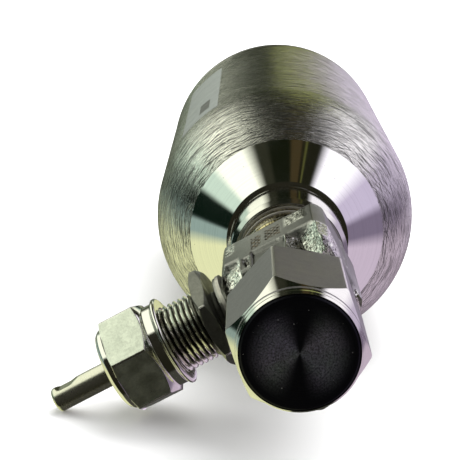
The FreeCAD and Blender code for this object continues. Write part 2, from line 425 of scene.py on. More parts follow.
class Effects:
    """The shared surface effects, each a node group that is built once."""

    @staticmethod
    def _start(name: str, inputs: dict[str, float], outputs: Sequence[str] = ("Mask",)
               ) -> tuple[Graph, bpy.types.bpy_prop_collection]:
        """Opens a new group with number inputs and outputs, and gives what its inputs feed.

        Args:
            name: the group's name.
            inputs: input names and their values.
            outputs: output names.

        Returns:
            The group's graph, and the sockets that its inputs feed from.
        """
        tree = bpy.data.node_groups.new(name, "ShaderNodeTree")
        for label, value in inputs.items():
            socket = tree.interface.new_socket(name=label, in_out="INPUT", socket_type="NodeSocketFloat")
            socket.default_value = value
        for label in outputs:
            tree.interface.new_socket(name=label, in_out="OUTPUT", socket_type="NodeSocketFloat")
        return Graph(tree), tree.nodes.new("NodeGroupInput").outputs

    @staticmethod
    def _end(graph: Graph, **sockets: bpy.types.NodeSocket) -> bpy.types.NodeTree:
        """Feeds the group's outputs and closes it.

        Args:
            graph: the group's graph.
            **sockets: output names to the sockets that feed them.

        Returns:
            The finished group.
        """
        out = graph.tree.nodes.new("NodeGroupOutput")
        for label, socket in sockets.items():
            graph.tree.links.new(socket, out.inputs[label])
        return graph.tree

    @staticmethod
    def _grown(graph: Graph, size: bpy.types.NodeSocket) -> bpy.types.NodeSocket:
        """The piece's own place, in units of a size in mm.

        Args:
            graph: the group's graph.
            size: the unit, in mm.

        Returns:
            The scaled place.
        """
        place = graph.add("TexCoord").outputs["Object"]
        scale = graph.math("DIVIDE", 1.0 / MM, size)
        return graph.add("VectorMath", {0: place, 3: scale}, operation="SCALE").outputs[0]

    @staticmethod
    @lru_cache(maxsize=None)
    def strokes() -> bpy.types.NodeTree:
        """Scratches that run round the axis, with a tilt.

        Returns:
            A group with inputs Girth (mm from the axis), Long and Fine (mm), Tilt (radians), Lean
            (mm) and Shift, and outputs Height and Deep.
        """
        inputs = {"Girth": 25.0, "Long": 6.0, "Fine": 0.4, "Tilt": 0.0, "Lean": 1.0, "Shift": 0.0}
        g, given = Effects._start("strokes", inputs, ("Height", "Deep"))
        spot = g.add("SeparateXYZ", {0: g.add("UVMap", uv_map="skin").outputs[0]})
        turn = g.minus(g.math("FRACT", g.plus(spot.outputs[0], 0.25)), 0.5)
        arc = g.times(g.times(turn, 2 * math.pi), given["Girth"])
        along = spot.outputs[1]
        broad = g.add("CombineXYZ", {0: arc, 1: along, 2: given["Shift"]}).outputs[0]
        bend = g.times(g.minus(g.cloud(broad, 0.11, 1.0), 0.5), given["Lean"])
        along = g.plus(along, bend)
        c, s = g.math("COSINE", given["Tilt"]), g.math("SINE", given["Tilt"])
        x = g.minus(g.times(arc, c), g.times(along, s))
        y = g.plus(g.times(arc, s), g.times(along, c))
        run, step = g.math("DIVIDE", x, given["Long"]), g.math("DIVIDE", y, given["Fine"])
        near = g.add("CombineXYZ", {0: run, 1: step, 2: given["Shift"]}).outputs[0]
        height = g.cloud(near, 1.0, 2.0, 0.6)
        return Effects._end(g, Height=height, Deep=g.fit(height, 0.53, 0.61))

    @staticmethod
    @lru_cache(maxsize=None)
    def patches() -> bpy.types.NodeTree:
        """Slow, cloudy differences over a surface, as from handling.

        Returns:
            A group with inputs Size (mm) and Hard, and output Mask.
        """
        g, given = Effects._start("patches", {"Size": 8.0, "Hard": 0.5})
        raw = g.cloud(Effects._grown(g, given["Size"]), 1.0, 4.0, 0.6)
        half = g.times(g.minus(1.0, given["Hard"]), 0.25)
        node = g.add("MapRange", {"Value": raw, "From Min": g.minus(0.5, half),
                                  "From Max": g.plus(0.5, half)}, interpolation_type="SMOOTHSTEP")
        return Effects._end(g, Mask=node.outputs[0])

    @staticmethod
    @lru_cache(maxsize=None)
    def specks() -> bpy.types.NodeTree:
        """Small scattered pits and dust.

        Returns:
            A group with inputs Pitch (mm) and Amount, and output Mask.
        """
        g, given = Effects._start("specks", {"Pitch": 1.0, "Amount": 0.2})
        cell = g.add("TexVoronoi", {"Vector": Effects._grown(g, given["Pitch"]), "Scale": 1.0})
        size = g.times(g.add("SeparateXYZ", {0: cell.outputs["Color"]}).outputs[0], given["Amount"])
        return Effects._end(g, Mask=g.math("LESS_THAN", cell.outputs["Distance"], size))

    @staticmethod
    @lru_cache(maxsize=None)
    def worn_edges() -> bpy.types.NodeTree:
        """Where sharp outer edges have been rubbed bright.

        Returns:
            A group with inputs Start and Reach, and output Mask.
        """
        g, given = Effects._start("worn_edges", {"Start": 0.52, "Reach": 0.08})
        bent = g.add("NewGeometry").outputs["Pointiness"]
        node = g.add("MapRange", {"Value": bent, "From Min": given["Start"],
                                  "From Max": g.plus(given["Start"], given["Reach"])})
        return Effects._end(g, Mask=node.outputs[0])


# ------------------------------------------------------------------------------------------------
# Finishes
# ------------------------------------------------------------------------------------------------
@dataclass(frozen=True)
class Finish:
    """A named finish that can be given to any number of pieces."""

    name: str
    base: Colour

    def shade(self, share: float) -> Colour:
        """The finish's own colour, darkened to a share of it."""
        return tuple(value * share for value in self.base)

    def _open(self, metallic: float = 1.0) -> tuple[Graph, bpy.types.Node, bpy.types.Material]:
        """Makes the material and its surface shader.

        Args:
            metallic: the surface shader's Metallic.

        Returns:
            The material's graph, its surface shader and the material.
        """
        material = bpy.data.materials.new(self.name)
        material.use_nodes = True
        tree = material.node_tree
        tree.nodes.clear()
        graph = Graph(tree)
        surface = graph.add("BsdfPrincipled", {"Metallic": metallic})
        out = graph.add("OutputMaterial")
        tree.links.new(surface.outputs[0], out.inputs[0])
        return graph, surface, material

    @staticmethod
    def _join(graph: Graph, surface: bpy.types.Node, colour: bpy.types.NodeSocket,
              rough: bpy.types.NodeSocket, height: bpy.types.NodeSocket, depth: float) -> None:
        """Feeds the surface shader's colour, roughness and bump (depth in mm).

        Args:
            graph: the material's graph.
            surface: its surface shader.
            colour: feeds Base Color.
            rough: feeds Roughness.
            height: feeds the bump.
            depth: the bump's depth, in mm.
        """
        graph.tree.links.new(colour, surface.inputs["Base Color"])
        graph.tree.links.new(rough, surface.inputs["Roughness"])
        bump = graph.add("Bump", {"Height": height, "Distance": depth * MM})
        graph.tree.links.new(bump.outputs[0], surface.inputs["Normal"])

    @staticmethod
    def _brush_way(graph: Graph, surface: bpy.types.Node, amount: float) -> None:
        """Spreads the highlights across the scratches, which run round the axis.

        Args:
            graph: the material's graph.
            surface: its surface shader.
            amount: how far the highlights spread, from 0 to 1.
        """
        round_way = graph.add("Tangent", direction_type="UV_MAP", uv_map="skin")
        graph.tree.links.new(round_way.outputs[0], surface.inputs["Tangent"])
        surface.inputs["Anisotropic"].default_value = amount
        surface.inputs["Anisotropic Rotation"].default_value = 0.25

    def make(self) -> bpy.types.Material:
        """Builds the material. Each kind of finish has its own."""
        raise NotImplementedError


@dataclass(frozen=True)
class Brushed(Finish):
    """Steel with coarse scratches round the axis."""

    girth: float = 25.4
    long: float = 8.0
    fine: float = 0.50
    depth: float = 0.34
    rough: float = 0.20
    lean: float = 3.0
    aniso: float = 0.65

    def make(self) -> bpy.types.Material:
        """Two layers of dark scratches and one of painted glints (highlights painted into the colour as
        bright strokes), over slow patches and dust.

        Returns:
            The new material.
        """
        g, surface, material = self._open()
        self._brush_way(g, surface, self.aniso)
        plan = ((1.0, 1.0, 0.05, 3.0), (0.7, 0.75, -0.16, 21.0), (0.5, 0.45, 0.02, 40.0))
        layers = [g.group(Effects.strokes(), Girth=self.girth, Long=self.long * long, Fine=self.fine * fine,
                          Tilt=tilt, Lean=self.lean, Shift=shift) for long, fine, tilt, shift in plan]
        cloudy = g.mask(Effects.patches(), Size=14.0, Hard=0.2)
        height = g.plus(layers[0].outputs["Height"], g.times(layers[1].outputs["Height"], 0.7))
        height = g.plus(height, g.times(layers[2].outputs["Height"], 0.45))
        deep = g.math("MAXIMUM", layers[0].outputs["Deep"], g.times(layers[1].outputs["Deep"], 0.9))
        colour = g.tint(g.times(deep, 0.95), self.base, self.shade(0.10))
        colour = g.tint(g.times(cloudy, 0.2), colour, self.shade(0.75))
        dust = g.mask(Effects.specks(), Pitch=1.5, Amount=0.13)
        colour = g.tint(g.times(dust, 0.8), colour, (0.95, 0.95, 0.85))
        # painted highlight: the third layer paints bright glints into the colour
        painted_glint = layers[2].outputs["Deep"]
        colour = g.tint(g.times(painted_glint, 0.7), colour, (0.97, 0.97, 0.92))
        rough = g.plus(g.times(deep, 0.2), g.times(cloudy, 0.08))
        self._join(g, surface, colour, g.plus(rough, self.rough), height, self.depth)
        return material


@dataclass(frozen=True)
class Polished(Finish):
    """Mirror or near-mirror turned steel with very fine lathe marks."""

    rough: float = 0.07
    marks: float = 0.0015
    pitch: float = 0.18

    def make(self) -> bpy.types.Material:
        """Faint lathe marks, smears, a few pits and painted shade in the thread's valleys.

        Returns:
            The new material.
        """
        g, surface, material = self._open()
        lathe = g.group(Effects.strokes(), Long=60.0, Fine=self.pitch, Tilt=0.0, Lean=0.0, Shift=7.0)
        smear = g.mask(Effects.patches(), Size=5.0, Hard=0.1)
        pits = g.mask(Effects.specks(), Pitch=1.7, Amount=0.09)
        shade = g.plus(g.times(lathe.outputs["Deep"], 0.12), g.times(pits, 0.5))
        colour = g.tint(shade, self.base, self.shade(0.45))
        # painted shade: the colour goes near-black towards the bottom of the thread's valleys
        valley = g.add("Attribute", attribute_name="valley").outputs["Fac"]
        colour = g.tint(g.fit(valley, 0.50, 1.0), colour, (0.04, 0.04, 0.03))
        rough = g.plus(g.times(smear, 0.04), g.times(lathe.outputs["Height"], 0.02))
        self._join(g, surface, colour, g.plus(rough, self.rough), lathe.outputs["Height"], self.marks)
        return material


@dataclass(frozen=True)
class Satin(Finish):
    """Machined satin steel with bright worn edges, painted highlight lines along the hexagon's corners and a
    fine even grain.
    """

    rough: float = 0.42
    grain: float = 0.25
    depth: float = 0.012
    # colour of the rubbed edges and of the highlight painted along the hexagon's corner lines
    edge: Colour = (0.85, 0.84, 0.80)

    def make(self) -> bpy.types.Material:
        """Fine grain, stains, rubbed edges and painted highlight lines on the hexagon's corners.

        Returns:
            The new material.
        """
        g, surface, material = self._open()
        place = g.add("TexCoord").outputs["Object"]
        fine = g.cloud(place, 1000.0 / self.grain, 3.0, 0.7)
        rub = g.mask(Effects.worn_edges(), Start=0.53, Reach=0.06)
        # painted highlight: the hexagon's corner lines are tinted bright, mixed with the real rubbed edges
        line = g.add("Attribute", attribute_name="edge").outputs["Fac"]
        bright_edges = g.math("MAXIMUM", g.times(rub, 0.5), line)
        cloudy = g.mask(Effects.patches(), Size=2.0, Hard=0.1)
        pits = g.mask(Effects.specks(), Pitch=0.9, Amount=0.10)
        shade = g.plus(g.times(g.fit(fine, 0.35, 0.65), 0.38), g.times(cloudy, 0.10))
        colour = g.tint(shade, self.base, self.shade(0.6))
        colour = g.tint(g.times(pits, 0.5), colour, self.shade(0.3))
        colour = g.tint(bright_edges, colour, self.edge)
        rough = g.minus(g.plus(g.times(cloudy, 0.10), self.rough),
                       g.times(bright_edges, 0.2))
        self._join(g, surface, colour, rough, fine, self.depth)
        return material


@dataclass(frozen=True)
class Forged(Finish):
    """As-forged steel: smooth die faces, crust in the pockets with painted sparkle, painted shade in the
    creases, brown in the stamps.
    """

    # bright colour of the sparkle painted over the crust
    sparkle_highlight: Colour = (0.96, 0.97, 0.90)
    stain: Colour = (0.16, 0.11, 0.06)

    def make(self) -> bpy.types.Material:
        """Mixes die face, crust and stain by the piece's own "crust" and "stamp" values, paints sparkle over
        the crust and paints shade into the creases.

        Returns:
            The new material.
        """
        g, surface, material = self._open()
        place = g.add("TexCoord").outputs["Object"]
        crust = g.add("Attribute", attribute_name="crust").outputs["Fac"]
        stamp = g.add("Attribute", attribute_name="stamp").outputs["Fac"]
        coarse = g.cloud(place, 1500.0, 3.0, 0.7)
        fine = g.cloud(place, 4200.0, 2.0, 0.7)
        streak = g.add("Mapping", {"Vector": place, "Rotation": (0.3, 0.5, 0.8),
                                   "Scale": (2600.0, 900.0, 1500.0)})
        crinkle = g.cloud(streak.outputs[0], 1.0, 2.0, 0.6)
        bright_edges = g.mask(Effects.worn_edges(), Start=0.52, Reach=0.06)
        # painted shade: the colour darkens in creases and around raised parts
        crease_shade = g.fit(g.add("NewGeometry").outputs["Pointiness"], 0.492, 0.450)
        face = g.tint(g.times(g.fit(fine, 0.4, 0.65), 0.55), self.base, self.shade(0.5))
        # painted sparkle: the real rough crust gets a speckle of dark and near-white, glints and shade
        # painted into its colour
        painted_sparkle = g.tint(g.fit(coarse, 0.38, 0.50), (0.10, 0.10, 0.08), self.sparkle_highlight)
        colour = g.tint(crust, face, painted_sparkle)
        colour = g.tint(g.times(stamp, g.fit(coarse, 0.3, 0.6)), colour, self.stain)
        colour = g.tint(g.times(bright_edges, 0.45), colour, (0.80, 0.80, 0.76))
        colour = g.tint(g.times(crease_shade, 0.85), colour, (0.03, 0.03, 0.022))
        rough = g.minus(0.46, g.times(crust, 0.24))
        bumps = g.plus(crinkle, g.times(coarse, 0.8))
        height = g.plus(g.times(bumps, crust), g.times(fine, 0.08))
        self._join(g, surface, colour, rough, height, 0.15)
        return material


@dataclass(frozen=True)
class Streaked(Finish):
    """Bright metal with short brown and olive runs along the axis."""

    run: Colour = (0.16, 0.12, 0.03)

    def make(self) -> bpy.types.Material:
        """Runs that are close together round the axis and long across it.

        Returns:
            The new material.
        """
        g, surface, material = self._open()
        spot = g.add("SeparateXYZ", {0: g.add("UVMap", uv_map="skin").outputs[0]})
        turn = g.times(spot.outputs[0], 2 * math.pi)
        place = g.add("CombineXYZ", {0: g.times(g.math("COSINE", turn), 26.0),
                                     1: g.times(g.math("SINE", turn), 26.0),
                                     2: g.times(spot.outputs[1], 0.5)}).outputs[0]
        runs = g.cloud(place, 1.0, 3.0, 0.6)
        stain = g.mask(Effects.patches(), Size=3.0, Hard=0.1)
        colour = g.tint(g.fit(runs, 0.42, 0.56), self.base, self.run)
        colour = g.tint(g.times(stain, 0.3), colour, self.run)
        self._join(g, surface, colour, g.plus(g.times(stain, 0.12), 0.12), runs, 0.05)
        return material


@dataclass(frozen=True)
class DarkTurned(Finish):
    """A nearly black faced-off end with two greyer fans of painted highlight, faint rings and a few bright
    specks.
    """

    rough: float = 0.36
    # colour of the painted highlight fans
    fan_highlight: Colour = (0.54, 0.50, 0.66)

    def make(self) -> bpy.types.Material:
        """Grainy fans of painted highlight to both sides of the centre, over fine rings and dust.

        Returns:
            The new material.
        """
        g, surface, material = self._open()
        self._brush_way(g, surface, 0.5)
        place = g.add("TexCoord").outputs["Object"]
        spot = g.add("SeparateXYZ", {0: place})
        turn = g.math("ARCTAN2", g.math("ABSOLUTE", spot.outputs[2]), g.math("ABSOLUTE", spot.outputs[0]))
        reach = g.times(g.math("SQRT", g.plus(g.math("POWER", spot.outputs[0], 2.0),
                                                         g.math("POWER", spot.outputs[2], 2.0))), 1.0 / MM)
        # painted reflection: two grey fans, as a turned face's highlights, painted into the colour to both
        # sides of the centre; they turn with the disc
        fan_highlight = g.minus(1.0, g.fit(turn, 0.55, 1.45))
        fan_highlight = g.times(fan_highlight, g.minus(1.0, g.fit(reach, 4.2, 8.0)))
        rings = g.group(Effects.strokes(), Girth=5.0, Long=14.0, Fine=0.20, Lean=0.1, Shift=11.0)
        grain = g.cloud(place, 3600.0, 3.0, 0.75)
        dust = g.mask(Effects.specks(), Pitch=1.1, Amount=0.11)
        shade = g.times(fan_highlight, g.fit(grain, 0.34, 0.66, 0.25, 1.0))
        hue = g.mask(Effects.patches(), Size=4.0, Hard=0.1)
        colour = g.tint(shade, self.base, g.tint(hue, self.fan_highlight, (0.44, 0.50, 0.50)))
        colour = g.tint(g.times(rings.outputs["Deep"], 0.3), colour, self.shade(0.5))
        colour = g.tint(g.times(dust, 0.7), colour, (0.7, 0.7, 0.74))
        height = g.plus(g.times(rings.outputs["Height"], 0.5), grain)
        rough = g.plus(g.times(grain, 0.12), self.rough)
        self._join(g, surface, colour, rough, height, 0.03)
        return material


@dataclass(frozen=True)
class Film(Finish):
    """An aged pale label film with plain generic marks."""

    def make(self) -> bpy.types.Material:
        """A stained film with one dark block and faint lines.

        Returns:
            The new material.
        """
        g, surface, material = self._open(metallic=0.1)
        spot = g.add("SeparateXYZ", {0: g.add("UVMap", uv_map="skin").outputs[0]})
        stain = g.mask(Effects.patches(), Size=6.0, Hard=0.1)
        rub = g.group(Effects.strokes(), Girth=8.0, Long=5.0, Fine=0.6, Lean=1.0, Shift=2.0)
        across, along = spot.outputs[0], spot.outputs[1]
        block = g.times(g.times(g.math("GREATER_THAN", across, 0.22), g.math("LESS_THAN", across, 0.48)),
                       g.times(g.math("GREATER_THAN", along, 41.0), g.math("LESS_THAN", along, 52.0)))
        colour = g.tint(g.times(stain, 0.4), self.base, self.shade(0.7))
        colour = g.tint(g.times(rub.outputs["Deep"], 0.35), colour, self.shade(0.6))
        colour = g.tint(g.times(block, 0.8), colour, (0.07, 0.07, 0.06))
        self._join(g, surface, colour, g.plus(g.times(stain, 0.2), 0.42), rub.outputs["Height"], 0.01)
        return material


@dataclass(frozen=True)
class Soft(Finish):
    """Moulded seal material or annealed washer metal."""

    metallic: float = 0.0
    rough: float = 0.45

    def make(self) -> bpy.types.Material:
        """Fine mottling and small pits.

        Returns:
            The new material.
        """
        g, surface, material = self._open(metallic=self.metallic)
        cloudy = g.mask(Effects.patches(), Size=1.5, Hard=0.2)
        pits = g.mask(Effects.specks(), Pitch=0.6, Amount=0.12)
        colour = g.tint(g.times(cloudy, 0.4), self.base, self.shade(0.8))
        colour = g.tint(g.times(pits, 0.4), colour, self.shade(0.5))
        self._join(g, surface, colour, g.plus(g.times(cloudy, 0.15), self.rough), cloudy, 0.02)
        return material


@lru_cache(maxsize=None)
def made_once(finish: Finish) -> bpy.types.Material:
    """The finish's material, the same one every time."""
    return finish.make()


class Look(Enum):
    """The finishes that this object uses."""

    WALL = Brushed("brushed_wall", (0.80, 0.795, 0.75), fine=0.36, depth=0.15, rough=0.14, aniso=0.25)
    BASE = Brushed("brushed_base", (0.62, 0.615, 0.58), long=10.0, fine=0.4, rough=0.32)
    CONE = Polished("polished_cone", (0.90, 0.90, 0.88), rough=0.025)
    NECK = Polished("polished_neck", (0.76, 0.75, 0.71), rough=0.07, marks=0.003, pitch=0.4)
    BRIGHT = Polished("bright_steel", (0.80, 0.79, 0.75), rough=0.06, marks=0.002)
    THREAD = Polished("rolled_thread", (0.90, 0.89, 0.82), rough=0.15, marks=0.0)
    STEM = Polished("drawn_stem", (0.72, 0.71, 0.60), rough=0.24, marks=0.003, pitch=0.25)
    NUT = Satin("satin_nut", (0.40, 0.385, 0.40), rough=0.50)
    SIDE_NUT = Satin("side_nut", (0.74, 0.78, 0.68), rough=0.28, grain=0.45, depth=0.05)
    FLANGE = Satin("flange_face", (0.24, 0.24, 0.215), rough=0.34, grain=0.4, depth=0.05)
    FORGING = Forged("forged_body", (0.33, 0.33, 0.315))
    COLLAR = Streaked("streaked_neck", (0.82, 0.74, 0.44))
    DISC = DarkTurned("dark_disc", (0.022, 0.022, 0.028), rough=0.42)
    LABEL = Film("label_film", (0.27, 0.295, 0.265))
    WASHER = Soft("washer_metal", (0.62, 0.60, 0.54), metallic=0.9, rough=0.35)
    SEAL = Soft("seal_white", (0.86, 0.86, 0.84))

    def material(self) -> bpy.types.Material:
        """The finish's material, made the first time it is asked for."""
        return made_once(self.value)


def dress(piece: bpy.types.Object, look: Look, body: str, slot: str, *stands_for: str) -> bpy.types.Object:
    """Gives a piece its finish, its body and the CAD nodes that it stands for.

    Args:
        piece: the object.
        look: its finish.
        body: the body that it rides on.
        slot: its material slot; not used.
        *stands_for: the CAD nodes that it replaces.

    Returns:
        The same object.
    """
    piece.data.materials.clear()
    piece.data.materials.append(look.material())
    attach(piece, body)
    if stands_for:
        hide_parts(*stands_for)
    LOG.info("%s: %d faces on %s", piece.name, len(piece.data.polygons), body)
    return piece


def refinish(look: Look, *nodes: str) -> None:
    """Gives carried-over CAD nodes their finish.

    Args:
        look: the finish.
        *nodes: the CAD nodes' names.
    """
    for node in nodes:
        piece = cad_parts[node]
        piece.data.materials.clear()
        piece.data.materials.append(look.material())


# ------------------------------------------------------------------------------------------------
# The vessel
# ------------------------------------------------------------------------------------------------
@dataclass
class Vessel:
    """Wall, shoulder, cone, base, neck boss and label."""

    radius: float = 25.4
    wall: float = 2.4
    length: float = 70.0
    shoulder: float = 20.4
    shoulder_end: float = 50.0
    base: float = 10.0
    base_round: float = 7.0
    boss: float = 10.6
    label_from: float = 124.5
    label_sweep: float = 22.0
    label_back: float = -59.0
    label_long: float = 56.0

    def shoulder_point(self, radius: float, degrees: float) -> Point:
        """Point on the rolled shoulder."""
        angle = math.radians(degrees)
        return (self.radius - self.shoulder + radius * math.cos(angle), radius * math.sin(angle))

    def build_wall(self) -> None:
        """Straight wall with the rolled shoulder."""
        outer = [self.shoulder_point(self.shoulder, self.shoulder_end * k / 20) for k in range(21)]
        inner = [self.shoulder_point(self.shoulder - self.wall, self.shoulder_end * k / 6)
                 for k in range(6, -1, -1)]
        straight = [(self.radius, -self.length + self.length * k / 14) for k in range(14)]
        points = [(self.radius - self.wall, -self.length), *straight, *outer, *inner]
        dress(turned("wall", MAIN, points, 288), Look.WALL, "vessel", "brushed_shell", "cylinder_shell")

    def build_cone(self) -> None:
        """Mirror-polished cone that runs into a small fillet at the boss."""
        start = self.shoulder_point(self.shoulder, self.shoulder_end)
        inside = self.shoulder_point(self.shoulder - self.wall, self.shoulder_end)
        slope = math.tan(math.radians(self.shoulder_end))
        foot = self.boss + 0.9
        end = start[1] + (start[0] - foot) / slope
        lip = self.shoulder_point(self.shoulder, self.shoulder_end - 0.6)
        middle = ((start[0] + foot) / 2, (start[1] + end) / 2)
        seat = self.boss - 0.35
        points = [inside, lip, start, middle, (foot, end), (foot - 0.45, end + 0.22),
                  (seat, end + 0.25), (seat, end - 2.8)]
        dress(turned("cone", MAIN, points, 288), Look.CONE, "vessel", "polished_cone", "front_cone")

    def build_base(self) -> None:
        """Rounded base with a shallow dish."""
        back, join = -self.length - self.base, -self.length - 0.05
        bend, inner = self.base_round, self.radius - self.wall
        ring = self.radius - bend
        curve = []
        for k in range(13):
            angle = math.radians(90 * k / 12)
            curve.append((ring + bend * math.sin(angle), back + bend * (1 - math.cos(angle))))
        points = [(0.0, back + 2.2), (6.0, back + 2.1), (ring - 5, back + 1.7), (ring - 1, back, 1.2), *curve,
                  (self.radius, join), (inner, join), (inner, back + bend), (ring + 2.6, back + 3.0),
                  (0.0, back + 4.6)]
        dress(turned("base", MAIN, points, 192), Look.BASE, "vessel", "brushed_shell", "base_head")
        foot, crown = self.radius - 0.15, self.radius + 0.05
        bead = [(foot, -self.length - 0.7), (crown, -self.length - 0.35, 0.3),
                (crown, -self.length + 0.25, 0.3), (foot, -self.length + 0.6)]
        dress(turned("base_weld", MAIN, bead, 192), Look.BRIGHT, "vessel", "brushed_shell")

    def build_boss(self) -> None:
        """Polished neck boss with a broken front edge."""
        points = [(6.5, 17.0), (self.boss - 0.4, 17.0), (self.boss - 0.4, 21.6, 0.1), (self.boss, 22.1, 0.3),
                  (self.boss, 31.0, 0.12), (self.boss - 0.75, 31.8, 0.1), (6.5, 31.8)]
        dress(turned("neck", MAIN, points, 192), Look.NECK, "vessel", "turned_steel", "neck_boss")

    def build_label(self) -> None:
        """Thin film on the wall, its edges a little uneven."""
        wide, tall = 24, 40
        columns = [math.radians(self.label_from + self.label_sweep * k / wide) for k in range(wide + 1)]
        rows = [self.label_back + self.label_long * k / tall for k in range(tall + 1)]
        spots, turns = [], []
        for j, along in enumerate(rows):
            for i, angle in enumerate(columns):
                edge = i in (0, wide) or j in (0, tall)
                wobble = 0.25 * noise.noise(Vector((i * 0.7, j * 0.5, 3.0))) if edge else 0.0
                lift = 0.01 if edge else 0.07
                spots.append(MAIN.place(self.radius + lift, angle + wobble * 0.02, along + wobble))
                turns.append((i / wide, along + 60.0))
        starts = [j * (wide + 1) + i for j in range(tall) for i in range(wide)]
        faces = [(k, k + 1, k + wide + 2, k + wide + 1) for k in starts]
        mesh = bpy.data.meshes.new("label")
        mesh.from_pydata(spots, [], faces)
        layer = mesh.uv_layers.new(name="skin")
        for loop in mesh.loops:
            layer.data[loop.index].uv = turns[loop.vertex_index]
        mesh.shade_smooth()
        dress(make_object("label", mesh), Look.LABEL, "vessel", "label_film", "info_label")

    def build(self) -> None:
        """Builds every piece of the vessel."""
        self.build_wall()
        self.build_cone()
        self.build_base()
        self.build_boss()
        self.build_label()
        refinish(Look.WASHER, "inlet_gasket", "inlet_filter")
        refinish(Look.BRIGHT, "outage_tube")


